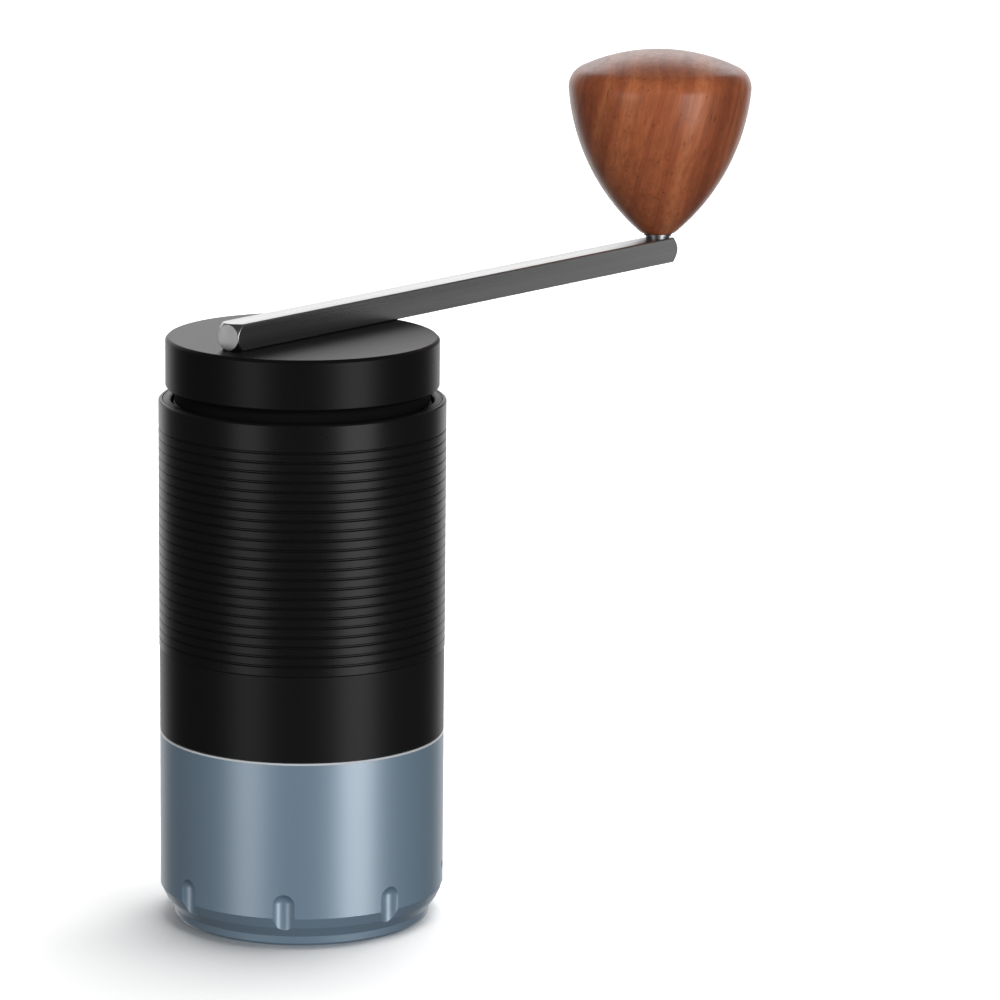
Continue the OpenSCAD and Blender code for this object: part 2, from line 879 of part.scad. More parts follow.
module drive_shaft() {
    color("#b9bcc0") difference() {
        union() {
            rod(thread_r, shaft_end_z, thread_top_z);
            rod(burr_shaft_r, thread_top_z, lower_bearing_z);
            rod(journal_r, lower_bearing_z - spring_seat_t, clip_z + clip_h + journal_end);
            rod(shoulder_r, lower_bearing_z + bearing_w, upper_bearing_z);
            translate([0, 0, clip_z])
                cylinder(d = hex_af / cos(30), h = hex_end_z - clip_z, $fn = 6);
        }
        ring(journal_r + over, clip_groove_r, clip_z, clip_z + clip_h);
        translate([-drive_pin_l, 0, drive_pin_z]) rotate([0, 90, 0])
            cylinder(r = drive_pin_r, h = 2 * drive_pin_l, $fn = 32);
        rod(stop_shank_r, shaft_end_z - over, shaft_end_z + stop_shank_h);
    }
}

module burr_drive_pin() {
    color("#b9bcc0") translate([-drive_pin_l / 2, 0, drive_pin_z]) rotate([0, 90, 0])
        cylinder(r = drive_pin_r, h = drive_pin_l, $fn = 32);
}

module shaft_clip() {
    color("#3a3a3c") ring(clip_r, clip_groove_r, clip_z, clip_z + clip_h);
}

module spring_seat() {
    color("#b9bcc0") ring(spring_seat_r, journal_r, spring_top_z, lower_bearing_z);
}

module burr_spring() {
    color("#c4c7ca")
        coil(spring_mean_r, spring_wire_r, inner_top_z, spring_top_z, spring_turns, 28, 8);
}

module stop_washer() {
    color("#b9bcc0") ring(stop_washer_r, stop_shank_r, stop_washer_z, shaft_end_z);
}

module stop_screw() {
    color("#3a3a3c") difference() {
        union() {
            rod(stop_head_r, stop_washer_z - stop_head_h, stop_washer_z);
            rod(stop_shank_r, stop_washer_z - stop_head_h, shaft_end_z + stop_shank_h - free_gap);
        }
        translate([0, 0, stop_washer_z - stop_head_h - over])
            cylinder(r = stop_head_r * socket_share, h = over + stop_head_h * socket_depth, $fn = 6);
    }
}

// ---------------------------------------------------------------- lid and crank

module lid_cap() {
    color("#1d1d1e") difference() {
        rotate_extrude() polygon([
            [neck_in_r, neck_z],
            [neck_r - edge, neck_z],
            [neck_r, neck_z + edge],
            [neck_r, lid_z],
            [lid_r - edge, lid_z],
            [lid_r, lid_z + edge],
            [lid_r, lid_top_z - edge],
            [lid_r - edge, lid_top_z],
            [0, lid_top_z],
            [0, cavity_z],
            [neck_in_r, cavity_z]
        ]);
        translate([0, 0, seal_z]) rotate_extrude()
            translate([seal_r - seal_wire_r, -seal_wire_r - running])
            square([3 * seal_wire_r, 2 * (seal_wire_r + running)]);
        around(hub_screw_count, 45) translate([hub_screw_place, 0, 0])
            rod(hub_screw_r, cavity_z - over, cavity_z + hub_screw_bite);
        for (x = [-arm_screw_place, arm_screw_place]) translate([x, 0, 0])
            rod(arm_screw_r, cavity_z - over, lid_top_z + over);
    }
}

module lid_seal() {
    color("#2b2b2b") translate([0, 0, seal_z]) rotate_extrude()
        translate([seal_r, 0]) circle(r = seal_wire_r);
}

module drive_hub() {
    color("#b9bcc0") difference() {
        union() {
            rod(hub_barrel_r, hub_bottom_z, cavity_z);
            rod(hub_flange_r, cavity_z - hub_flange_t, cavity_z);
        }
        translate([0, 0, hub_bottom_z - over])
            cylinder(d = (hex_af + 2 * hex_clearance) / cos(30),
                     h = socket_top_z - hub_bottom_z + over, $fn = 6);
        around(hub_screw_count, 45) translate([hub_screw_place, 0, 0])
            rod(hub_screw_r, cavity_z - hub_flange_t - over, cavity_z + over);
    }
}

// Screw with a socket head, driven upwards: the head's top face is at z
module cap_screw(shank_r, head_r, head_h, z, bite) {
    difference() {
        union() {
            rod(head_r, z - head_h, z);
            rod(shank_r, z - head_h, z + bite);
        }
        translate([0, 0, z - head_h - over])
            cylinder(r = head_r * socket_share, h = over + head_h * socket_depth, $fn = 6);
    }
}

module hub_screws() {
    color("#3a3a3c") around(hub_screw_count, 45) translate([hub_screw_place, 0, 0])
        cap_screw(hub_screw_r, hub_screw_head_r, hub_screw_head_h,
                  cavity_z - hub_flange_t, hub_flange_t + hub_screw_bite);
}

module arm_screws() {
    color("#3a3a3c") for (x = [-arm_screw_place, arm_screw_place]) translate([x, 0, 0])
        cap_screw(arm_screw_r, arm_screw_head_r, arm_screw_head_h, cavity_z, lid_top + arm_screw_bite);
}

module crank_arm() {
    length = arm_tail + arm_reach + arm_tip;
    color("#8b8c8e") difference() {
        intersection() {
            translate([-arm_tail, -arm_side / 2, arm_z]) cube([length, arm_side, arm_side]);
            translate([-arm_tail, 0, arm_z + arm_side / 2]) rotate([0, 90, 0]) rotate_extrude() polygon([
                [0, 0],
                [arm_face_r, 0],
                [arm_turned_r, arm_cone],
                [arm_turned_r, length - arm_cone],
                [arm_face_r, length],
                [0, length]
            ]);
        }
        translate([arm_reach, 0, 0]) rod(pin_spigot_r, arm_z - over, arm_top_z + over);
        for (x = [-arm_screw_place, arm_screw_place]) translate([x, 0, 0])
            rod(arm_screw_r, arm_z - over, arm_z + arm_screw_bite);
    }
}

// ---------------------------------------------------------------- knob

module knob_pin() {
    color("#b9bcc0") translate([arm_reach, 0, 0]) difference() {
        union() {
            rod(pin_spigot_r, arm_z + free_gap, arm_top_z);
            rod(pin_collar_r, arm_top_z, washer_z);
            rod(knob_pin_r, washer_z, pin_top_z);
        }
        ring(knob_pin_r + over, pin_groove_r, knob_clip_z, knob_clip_z + knob_clip_h);
    }
}

module knob_washer() {
    color("#dfe2e5") translate([arm_reach, 0, 0]) ring(washer_r, knob_pin_r, washer_z, washer_z + washer_h);
}

module knob_clip() {
    color("#3a3a3c") translate([arm_reach, 0, 0])
        ring(bush_r - free_gap / 2, pin_groove_r, knob_clip_z, knob_clip_z + knob_clip_h);
}

module knob_bush() {
    color("#b08d4a") translate([arm_reach, 0, 0]) ring(bush_r, bush_in_r, knob_z, knob_z + bush_h);
}

// The side arc, the rounded shoulder and the dome all meet on a tangent
module knob() {
    foot = [knob_foot_r, knob_z + knob_foot_edge];
    side_c = arc_centre([knob_foot_r, knob_z], [knob_r, knob_z + knob_shoulder_h], knob_side_arc);
    dome_c = [0, knob_top_z - knob_dome_arc];
    round_c = meet(side_c, knob_side_arc - knob_round, dome_c, knob_dome_arc - knob_round);
    from_side = round_c - side_c;
    from_dome = round_c - dome_c;
    side_end = atan2(from_side[1], from_side[0]);
    dome_start = atan2(from_dome[1], from_dome[0]);
    foot_start = -asin((side_c[1] - foot[1]) / knob_side_arc);
    color("#7a4630") translate([arm_reach, 0, 0]) difference() {
        rotate_extrude() polygon(concat(
            [[0, knob_z], [knob_foot_r - knob_foot_edge / 2, knob_z]],
            arc(side_c, knob_side_arc, foot_start, side_end, 16),
            arc(round_c, knob_round, side_end, dome_start, 8),
            arc(dome_c, knob_dome_arc, dome_start, 90, 10)
        ));
        rod(bush_r, knob_z - over, knob_bore_top_z);
    }
}

catch_cup();
keeper_ring();
body_tube();
grip_sleeve();
cup_magnets();
lower_support();
lower_support_screws();
lower_outer_race();
lower_bearing_retainer();
upper_support();
upper_support_screws();
upper_outer_race();
upper_bearing_retainer();
outer_burr();
burr_set_screws();
drive_shaft();
lower_inner_race();
upper_inner_race();
shaft_clip();
spring_seat();
burr_spring();
burr_drive_pin();
stop_washer();
stop_screw();
lower_bearing_balls();
lower_bearing_cage();
upper_bearing_balls();
upper_bearing_cage();
inner_burr();
click_plate();
click_plate_screws();
adjust_dial();
detent_balls();
detent_springs();
lid_cap();
lid_seal();
drive_hub();
hub_screws();
arm_screws();
crank_arm();
knob_pin();
knob_washer();
knob_clip();
knob_bush();
knob();
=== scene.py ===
"""Looks of the hand crank coffee grinder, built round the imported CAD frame. Lengths are in metres."""

import json
import math

import bmesh
import bpy
from mathutils import Matrix, Vector

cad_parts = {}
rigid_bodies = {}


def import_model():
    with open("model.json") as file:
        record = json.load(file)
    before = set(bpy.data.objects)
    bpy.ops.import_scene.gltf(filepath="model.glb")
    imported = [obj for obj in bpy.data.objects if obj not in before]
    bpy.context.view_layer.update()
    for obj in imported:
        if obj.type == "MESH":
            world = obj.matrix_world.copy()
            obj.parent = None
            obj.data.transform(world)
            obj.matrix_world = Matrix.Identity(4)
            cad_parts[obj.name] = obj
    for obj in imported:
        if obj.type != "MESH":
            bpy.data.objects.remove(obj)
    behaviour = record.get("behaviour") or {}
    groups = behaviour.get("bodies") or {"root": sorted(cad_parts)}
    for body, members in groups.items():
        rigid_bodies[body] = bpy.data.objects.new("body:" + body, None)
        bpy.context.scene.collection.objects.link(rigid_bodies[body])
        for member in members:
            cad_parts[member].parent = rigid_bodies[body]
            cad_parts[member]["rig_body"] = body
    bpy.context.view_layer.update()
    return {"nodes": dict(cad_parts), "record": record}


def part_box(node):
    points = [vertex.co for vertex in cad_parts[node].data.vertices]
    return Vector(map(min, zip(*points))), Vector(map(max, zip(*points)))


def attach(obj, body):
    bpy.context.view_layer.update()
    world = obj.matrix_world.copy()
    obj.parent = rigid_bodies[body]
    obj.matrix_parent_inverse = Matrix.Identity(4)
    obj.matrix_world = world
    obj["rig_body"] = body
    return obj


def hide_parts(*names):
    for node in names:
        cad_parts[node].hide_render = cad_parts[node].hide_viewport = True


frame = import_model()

MM = 0.001
NODES = frame["nodes"]

# ------------------------------------------------------------------ places read from the frame

cup_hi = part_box("catch_cup")[1]
tube_lo, tube_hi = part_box("body_tube")
sleeve_lo, sleeve_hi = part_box("grip_sleeve")
lid_lo, lid_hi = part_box("lid_cap")
arm_lo, arm_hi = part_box("crank_arm")
knob_lo, knob_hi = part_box("knob")
pin_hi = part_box("knob_pin")[1]

CUP_R = cup_hi.x
BAND_R = tube_hi.x
BODY_R = sleeve_hi.x
LID_R = lid_hi.x
KNOB_X = (knob_lo.x + knob_hi.x) / 2
RIM_Z = tube_hi.z
ARM_SIDE = arm_hi.y - arm_lo.y

# shared by several pieces or materials
LID_GAP = 2.1 * MM
EDGE = 0.3 * MM
FINE_EDGE = 0.15 * MM

# ------------------------------------------------------------------ mesh helpers


def arc(centre, radius, start, end, steps):
    """Points of an arc between two angles in degrees, ends included."""
    points = []
    for i in range(steps + 1):
        a = math.radians(start + (end - start) * i / steps)
        points.append((centre[0] + radius * math.cos(a), centre[1] + radius * math.sin(a)))
    return points


def soften(points, radius, steps=4, closed=False):
    """Rounds each corner of an outline with an arc of that radius, or less where an edge is short."""
    out = []
    count = len(points)
    for i, p in enumerate(points):
        if not closed and i in (0, count - 1):
            out.append(p)
            continue
        here = Vector(p)
        before = Vector(points[i - 1]) - here
        after = Vector(points[(i + 1) % count]) - here
        angle = before.angle(after)
        if angle > math.radians(170):
            out.append(p)
            continue
        cut = min(radius / math.tan(angle / 2), 0.45 * before.length, 0.45 * after.length)
        r = cut * math.tan(angle / 2)
        centre = here + (before.normalized() + after.normalized()).normalized() * (r / math.sin(angle / 2))
        start = (before.normalized() * cut + here - centre).normalized()
        end = (after.normalized() * cut + here - centre).normalized()
        for k in range(steps + 1):
            out.append(tuple(centre + start.slerp(end, k / steps) * r))
    return out


def finish_mesh(mesh, sharp=32):
    """Smooth shading that keeps edges sharper than so many degrees."""
    mesh.shade_smooth()
    mesh.set_sharp_from_angle(angle=math.radians(sharp))


def add_object(name, mesh, weighted=True):
    """Links a mesh to the scene as an object, with evened normals if it is a finished piece."""
    obj = bpy.data.objects.new(name, mesh)
    bpy.context.scene.collection.objects.link(obj)
    if weighted:
        modifier = obj.modifiers.new("even_normals", "WEIGHTED_NORMAL")
        modifier.keep_sharp = True
    return obj


def lathe_mesh(name, outline, segments, centre=(0.0, 0.0), closed=True):
    """Turns an (r, z) outline about a vertical axis. An open outline starts and ends on the axis."""
    bm = bmesh.new()
    rings = []
    for r, z in outline:
        if r < 1e-7:
            rings.append([bm.verts.new((centre[0], centre[1], z))])
            continue
        ring = []
        for i in range(segments):
            a = 2 * math.pi * i / segments
            ring.append(bm.verts.new((centre[0] + r * math.cos(a), centre[1] + r * math.sin(a), z)))
        rings.append(ring)
    pairs = list(zip(rings, rings[1:]))
    if closed:
        pairs.append((rings[-1], rings[0]))
    for low, high in pairs:
        for i in range(segments):
            j = (i + 1) % segments
            corners = [low[i % len(low)], low[j % len(low)], high[j % len(high)], high[i % len(high)]]
            face = list(dict.fromkeys(corners))
            if len(face) > 2:
                bm.faces.new(face)
    bmesh.ops.recalc_face_normals(bm, faces=bm.faces)
    mesh = bpy.data.meshes.new(name)
    bm.to_mesh(mesh)
    bm.free()
    return mesh


def lathe(name, outline, segments=192, centre=(0.0, 0.0), closed=True, sharp=32):
    """A turned piece, shaded smooth."""
    mesh = lathe_mesh(name, outline, segments, centre, closed)
    finish_mesh(mesh, sharp)
    return add_object(name, mesh)


def boolean(obj, tools, operation):
    """Applies a boolean with each tool and removes the tools."""
    for tool in tools:
        modifier = obj.modifiers.new("cut", "BOOLEAN")
        modifier.operation = operation
        modifier.solver = "EXACT"
        modifier.object = tool
    apply_modifiers(obj)
    for tool in tools:
        bpy.data.objects.remove(tool)


def apply_modifiers(obj):
    """Puts the evaluated mesh in place of the object's own."""
    bpy.context.view_layer.update()
    graph = bpy.context.evaluated_depsgraph_get()
    mesh = bpy.data.meshes.new_from_object(obj.evaluated_get(graph))
    obj.modifiers.clear()
    obj.data = mesh


def bevelled(obj, width, angle=30, segments=3):
    """Breaks the sharp edges with a small round, then evens the normals."""
    modifier = obj.modifiers.new("edge_break", "BEVEL")
    modifier.width = width
    modifier.segments = segments
    modifier.limit_method = "ANGLE"
    modifier.angle_limit = math.radians(angle)
    modifier.harden_normals = False
    apply_modifiers(obj)
    finish_mesh(obj.data, 40)
    even = obj.modifiers.new("even_normals", "WEIGHTED_NORMAL")
    even.keep_sharp = True
    return obj


def capsule(name, radius, bottom, top, place):
    """An upright ball-nosed cutter."""
    outline = [(0.0, bottom), (radius, bottom)] + arc((0.0, top - radius), radius, 0, 90, 12)
    outline[-1] = (0.0, top)
    mesh = lathe_mesh(name, outline, 48, place, closed=False)
    return add_object(name, mesh, weighted=False)


# ------------------------------------------------------------------ material helpers


class Shader:
    """A node material with a Principled shader, and short calls to add nodes to it."""

    def __init__(self, name):
        self.material = bpy.data.materials.new(name)
        self.material.use_nodes = True
        self.tree = self.material.node_tree
        self.tree.nodes.clear()
        self.output = self.tree.nodes.new("ShaderNodeOutputMaterial")
        self.main = self.tree.nodes.new("ShaderNodeBsdfPrincipled")
        self.tree.links.new(self.main.outputs[0], self.output.inputs[0])
        self.place = self.node("TexCoord").outputs["Object"]

    def node(self, kind, links=None, **settings):
        """Adds a node, with a value or a link for each of the named inputs."""
        node = self.tree.nodes.new("ShaderNode" + kind)
        for key, value in settings.items():
            setattr(node, key, value)
        for socket, source in (links or {}).items():
            target = node.inputs[socket]
            if isinstance(source, bpy.types.NodeSocket):
                self.tree.links.new(source, target)
            else:
                target.default_value = source
        return node

    def set(self, **values):
        """Values or links on the Principled shader; an underscore stands for a space."""
        for key, source in values.items():
            target = self.main.inputs[key.replace("_", " ")]
            if isinstance(source, bpy.types.NodeSocket):
                self.tree.links.new(source, target)
            else:
                target.default_value = source

    def scaled(self, scale, turn=(0, 0, 0), source=None):
        """Object coordinates, or another vector, turned and multiplied by a scale for each axis."""
        links = {"Vector": source or self.place, "Scale": scale, "Rotation": turn}
        return self.node("Mapping", links).outputs[0]

    def noise(self, place, scale, detail=3.0, rough=0.5):
        links = {"Vector": place, "Scale": scale, "Detail": detail, "Roughness": rough}
        return self.node("TexNoise", links).outputs["Fac"]

    def ramp(self, factor, stops):
        """A colour ramp; each stop is (position, colour)."""
        node = self.node("ValToRGB", {"Fac": factor})
        points = node.color_ramp.elements
        while len(points) < len(stops):
            points.new(0.5)
        for point, (position, colour) in zip(points, stops):
            point.position = position
            point.color = (*colour, 1.0)
        return node.outputs["Color"]

    def remap(self, value, low, high, to_low, to_high):
        links = {"Value": value, "From Min": low, "From Max": high, "To Min": to_low, "To Max": to_high}
        return self.node("MapRange", links).outputs[0]

    def math(self, operation, a, b=0.0):
        node = self.node("Math", operation=operation)
        for socket, source in zip(node.inputs, (a, b)):
            if isinstance(source, bpy.types.NodeSocket):
                self.tree.links.new(source, socket)
            else:
                socket.default_value = source
        return node.outputs[0]

    def mix(self, factor, a, b, blend="MIX"):
        node = self.node("Mix", data_type="RGBA", blend_type=blend)
        for socket, source in ((node.inputs[0], factor), (node.inputs[6], a), (node.inputs[7], b)):
            if isinstance(source, bpy.types.NodeSocket):
                self.tree.links.new(source, socket)
            elif socket == node.inputs[0]:
                socket.default_value = source
            else:
                socket.default_value = (*source, 1.0)
        return node.outputs[2]

    def bump(self, height, strength, distance):
        return self.node("Bump", {"Height": height, "Strength": strength, "Distance": distance}).outputs[0]


def radius_of(s):
    """Distance from the vertical axis at the origin, as a node socket."""
    split = s.node("SeparateXYZ", {"Vector": s.place}).outputs
    square = s.math("ADD", s.math("MULTIPLY", split[0], split[0]), s.math("MULTIPLY", split[1], split[1]))
    return s.math("SQRT", square)


def blue_grey_anodised():
    """Bead-blasted, dyed and sealed aluminium, with a pale band painted round the top edge of the cup as
    its highlight.
    """
    s = Shader("blue_grey_anodised")
    height = s.node("SeparateXYZ", {"Vector": s.place}).outputs[2]
    # painted highlight: a pale colour on the top edge stands in for the bright line of light along it
    painted_edge_highlight = s.remap(height, cup_hi.z - 0.32 * MM, cup_hi.z - 0.26 * MM, 0, 1)
    grain = s.noise(s.place, 5200, 2, 0.6)
    cloud = s.noise(s.place, 38, 3, 0.5)
    base = s.mix(cloud, (0.150, 0.226, 0.306), (0.166, 0.246, 0.330))
    skin = s.mix(s.remap(grain, 0.3, 0.7, 0, 0.25), base, (0.21, 0.30, 0.38))
    # the pale colour mixed in here is the painted highlight of the cup's top edge
    s.set(Base_Color=s.mix(painted_edge_highlight, skin, (0.74, 0.77, 0.80)))
    s.set(Metallic=0.2, Roughness=s.remap(grain, 0.3, 0.7, 0.34, 0.41))
    s.set(IOR=2.5, Specular_IOR_Level=0.5)
    s.set(Normal=s.bump(grain, 0.12, 0.00003))
    return s.material


def black_anodised(name="black_anodised", rough=0.38, lift=1.0, level=0.20, matt_below=None):
    """Bead-blasted black aluminium with a wide soft sheen. It can be matt under a height."""
    s = Shader(name)
    grain = s.noise(s.place, 5200, 2, 0.6)
    cloud = s.noise(s.place, 45, 3, 0.5)
    low, high = 0.0030 * lift, 0.0045 * lift
    base = s.mix(cloud, (low, low, low * 1.02), (high, high, high * 1.02))
    s.set(Base_Color=s.mix(s.remap(grain, 0.35, 0.75, 0, 0.3), base, (0.012, 0.012, 0.0125)))
    skin = s.remap(grain, 0.3, 0.7, rough - 0.04, rough + 0.05)
    if matt_below is not None:
        height = s.node("SeparateXYZ", {"Vector": s.place}).outputs[2]
        skin = s.math("MAXIMUM", skin, s.remap(height, matt_below - 0.1 * MM, matt_below, 0.95, 0.0))
    s.set(Roughness=skin, Specular_IOR_Level=level)
    s.set(Normal=s.bump(grain, 0.14, 0.00003))
    return s.material


def brushed_steel(name, colour, axis, rough=0.3, scratch=0.35):
    """Ground steel whose fine scratches run along one axis."""
    s = Shader(name)
    stretch = [2600.0, 2600.0, 2600.0]
    stretch[axis] = 40.0
    lines = s.noise(s.scaled(stretch), 1.0, 4, 0.65)
    wide = s.noise(s.scaled([v * 0.2 for v in stretch]), 1.0, 3, 0.5)
    dark = tuple(c * 0.86 for c in colour)
    s.set(Base_Color=s.mix(s.remap(lines, 0.3, 0.7, 0, 1), dark, colour))
    s.set(Metallic=1.0, Roughness=s.remap(wide, 0.3, 0.7, rough - 0.05, rough + 0.07))
    s.set(Normal=s.bump(lines, scratch, 0.00002))
    return s.material


def arm_steel():
    """Brushed bar whose ends are faced on a lathe: rings about the long axis, and a lighter colour painted
    on the ends as the sheen of their turning marks.
    """
    s = Shader("arm_steel")
    lines = s.noise(s.scaled((40, 2600, 2600)), 1.0, 4, 0.65)
    wide = s.noise(s.scaled((8, 520, 520)), 1.0, 3, 0.5)
    split = s.node("SeparateXYZ", {"Vector": s.place}).outputs
    up = s.math("SUBTRACT", split[2], (arm_lo.z + arm_hi.z) / 2)
    square = s.math("ADD", s.math("MULTIPLY", split[1], split[1]), s.math("MULTIPLY", up, up))
    rings = s.math("MULTIPLY", s.math("SQRT", square), 7000.0)
    turned = s.noise(s.node("CombineXYZ", {"X": rings}).outputs[0], 1.0, 2, 0.6)
    normal = s.node("SeparateXYZ", {"Vector": s.node("TexCoord").outputs["Normal"]}).outputs[0]
    end = s.remap(s.math("ABSOLUTE", normal), 0.90, 0.97, 0, 1)
    side = s.mix(s.remap(lines, 0.3, 0.7, 0, 1), (0.43, 0.43, 0.43), (0.50, 0.50, 0.50))
    # painted sheen: the faced ends get a lighter colour than the sides, standing in for the light their
    # turning marks catch
    face = s.mix(s.remap(turned, 0.3, 0.7, 0, 1), (0.62, 0.62, 0.62), (0.82, 0.82, 0.82))
    s.set(Base_Color=s.mix(end, side, face), Metallic=1.0)
    s.set(Roughness=s.math("ADD", s.remap(wide, 0.3, 0.7, 0.26, 0.36), s.math("MULTIPLY", end, 0.06)))
    height = s.node("Mix", {0: end, 2: lines, 3: s.math("MULTIPLY", turned, 3.0)}).outputs[0]
    s.set(Normal=s.bump(height, 0.35, 0.00002))
    return s.material


def turned_steel(name, colour, rough=0.22):
    """Steel turned on a lathe: fine rings about the vertical axis, seen as height lines on its sides."""
    s = Shader(name)
    split = s.node("SeparateXYZ", {"Vector": s.place}).outputs
    rings = s.math("ADD", s.math("MULTIPLY", radius_of(s), 9000.0), s.math("MULTIPLY", split[2], 9000.0))
    wave = s.noise(s.node("CombineXYZ", {"X": rings}).outputs[0], 1.0, 2, 0.6)
    fine = s.noise(s.place, 1500, 2)
    s.set(Base_Color=s.mix(s.remap(fine, 0.3, 0.7, 0, 1), tuple(c * 0.9 for c in colour), colour))
    s.set(Metallic=1.0, Roughness=s.remap(wave, 0.3, 0.7, rough - 0.05, rough + 0.08))
    s.set(Normal=s.bump(wave, 0.25, 0.00002))
    return s.material


def plain_dark_steel():
    """Black oxide on screws and clips."""
    s = Shader("black_oxide")
    grain = s.noise(s.place, 1800, 3)
    s.set(Base_Color=s.mix(grain, (0.03, 0.03, 0.032), (0.07, 0.07, 0.074)))
    s.set(Metallic=0.8, Roughness=s.remap(grain, 0.3, 0.7, 0.34, 0.5), Normal=s.bump(grain, 0.1, 0.00003))
    return s.material


def machined_aluminium():
    """Clear anodised aluminium with a light tool mark."""
    s = Shader("machined_aluminium")
    rings = s.math("MULTIPLY", radius_of(s), 4200.0)
    wave = s.noise(s.node("CombineXYZ", {"X": rings}).outputs[0], 1.0, 2)
    grain = s.noise(s.place, 3000, 2)
    s.set(Base_Color=s.mix(grain, (0.50, 0.51, 0.52), (0.60, 0.61, 0.62)))
    s.set(Metallic=0.9, Roughness=s.remap(wave, 0.3, 0.7, 0.3, 0.42), Normal=s.bump(wave, 0.12, 0.00003))
    return s.material


def moulded(name, low, high, rough):
    """A moulded plastic or rubber with a faint uneven skin."""
    s = Shader(name)
    grain = s.noise(s.place, 2600, 3)
    s.set(Base_Color=s.mix(grain, low, high))
    s.set(Roughness=s.remap(grain, 0.3, 0.7, rough - 0.06, rough + 0.06))
    s.set(Normal=s.bump(grain, 0.12, 0.00004))
    return s.material


def brass():
    """Turned brass for the knob's bush."""
    s = Shader("turned_brass")
    grain = s.noise(s.place, 1600, 3)
    s.set(Base_Color=s.mix(grain, (0.55, 0.38, 0.15), (0.68, 0.50, 0.24)))
    s.set(Metallic=1.0, Roughness=s.remap(grain, 0.3, 0.7, 0.22, 0.34), Normal=s.bump(grain, 0.08, 0.00003))
    return s.material


WOOD_LEAN = (math.radians(-9.6), math.radians(-7.4), 0)
BAND_SHIFT = 2.0


def wood():
    """Oiled red-brown hardwood with leaning grain, darker growth bands and short open pores."""
    s = Shader("knob_wood")
    lean = s.scaled((1, 1, 1), WOOD_LEAN)
    warp = s.noise(s.scaled((40, 40, 14), source=lean), 1.0, 2, 0.5)
    split = s.node("SeparateXYZ", {"Vector": lean}).outputs
    across = s.math("ADD", s.math("MULTIPLY", split[0], 95.0), s.math("MULTIPLY", split[1], -120.0))
    across = s.math("SUBTRACT", across, BAND_SHIFT)
    bands = s.math("ADD", across, s.math("MULTIPLY", warp, 1.3))
    wave = s.noise(s.node("CombineXYZ", {"X": bands}).outputs[0], 1.0, 4, 0.6)
    streak = s.noise(s.scaled((900, 900, 45), source=lean), 1.0, 4, 0.6)
    fibre = s.noise(s.scaled((3600, 3600, 130), source=lean), 1.0, 3, 0.6)
    colour = s.ramp(wave, [
        (0.34, (0.150, 0.034, 0.013)),
        (0.44, (0.300, 0.078, 0.032)),
        (0.55, (0.430, 0.130, 0.052)),
        (0.72, (0.520, 0.185, 0.084)),
    ])
    colour = s.mix(s.remap(streak, 0.40, 0.70, 0, 0.42), colour, (0.130, 0.036, 0.015))
    colour = s.mix(s.remap(fibre, 0.45, 0.75, 0, 0.22), colour, (0.42, 0.17, 0.085))
    pores = s.noise(s.scaled((2400, 2400, 260), source=lean), 1.0, 1, 0.4)
    pore = s.remap(pores, 0.67, 0.75, 0, 1)
    colour = s.mix(s.math("MULTIPLY", pore, 0.6), colour, (0.060, 0.018, 0.009))
    height = s.math("SUBTRACT", s.math("MULTIPLY", fibre, 0.25), s.math("MULTIPLY", pore, 0.8))
    s.set(Base_Color=colour, Roughness=s.remap(streak, 0.3, 0.7, 0.27, 0.36))
    s.set(Normal=s.bump(height, 0.14, 0.00004), Specular_IOR_Level=0.42)
    return s.material


MATERIALS = {
    "blue_grey_anodised": blue_grey_anodised(),
    "black_anodised": black_anodised(),
    "sleeve_black": black_anodised("sleeve_black", 0.31, 0.9, 0.22),
    "lid_black": black_anodised("lid_black", 0.36, 0.9, 0.15, RIM_Z + LID_GAP),
    "natural_aluminium": machined_aluminium(),
    "arm_steel": arm_steel(),
    "shaft_steel": turned_steel("shaft_steel", (0.36, 0.36, 0.362), 0.34),
    "burr_steel": turned_steel("burr_steel", (0.70, 0.70, 0.70), 0.16),
    "bearing_steel": turned_steel("bearing_steel", (0.72, 0.72, 0.73), 0.12),
    "spring_steel": brushed_steel("spring_steel", (0.52, 0.52, 0.53), 2, 0.25, 0.1),
    "black_steel": plain_dark_steel(),
    "nickel": turned_steel("nickel", (0.66, 0.63, 0.58), 0.18),
    "nylon": moulded("nylon", (0.60, 0.55, 0.38), (0.70, 0.65, 0.47), 0.5),
    "seal_rubber": moulded("seal_rubber", (0.018, 0.018, 0.018), (0.035, 0.035, 0.035), 0.62),
    "bush_brass": brass(),
    "knob_wood": wood(),
}


def paint(obj, slot, look=None):
    obj.data.materials.clear()
    obj.data.materials.append(MATERIALS[look or slot])


def dress(obj, slot, node, look=None):
    """Finishes a piece that stands for one CAD node: material, body and the node it replaces."""
    paint(obj, slot, look)
    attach(obj, NODES[node]["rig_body"])
    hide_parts(node)
    return obj


# ------------------------------------------------------------------ catch cup

CUP_WALL = 2.4 * MM
CUP_FLOOR = 2.5 * MM
LEDGE = 0.75 * MM
BOWL_CORNER_W = 3.4 * MM
BOWL_CORNER_H = 6.5 * MM
MOUTH_EDGE = 0.1 * MM
FOOT_R = CUP_R - 2.5 * MM
FOOT_WALL = 1.95 * MM
FOOT_LEAN = 0.25 * MM
FOOT_CHAMFER_W = 0.4 * MM
FOOT_CHAMFER_H = 0.5 * MM
FOOT_H = 6.1 * MM
COVE_BULGE = 0.25 * MM
NOTCHES = 8
NOTCH_R = 2.3 * MM
NOTCH_DEPTH = 1.4 * MM
NOTCH_TOP = 11 * MM
NOTCH_ANGLE = 33.2


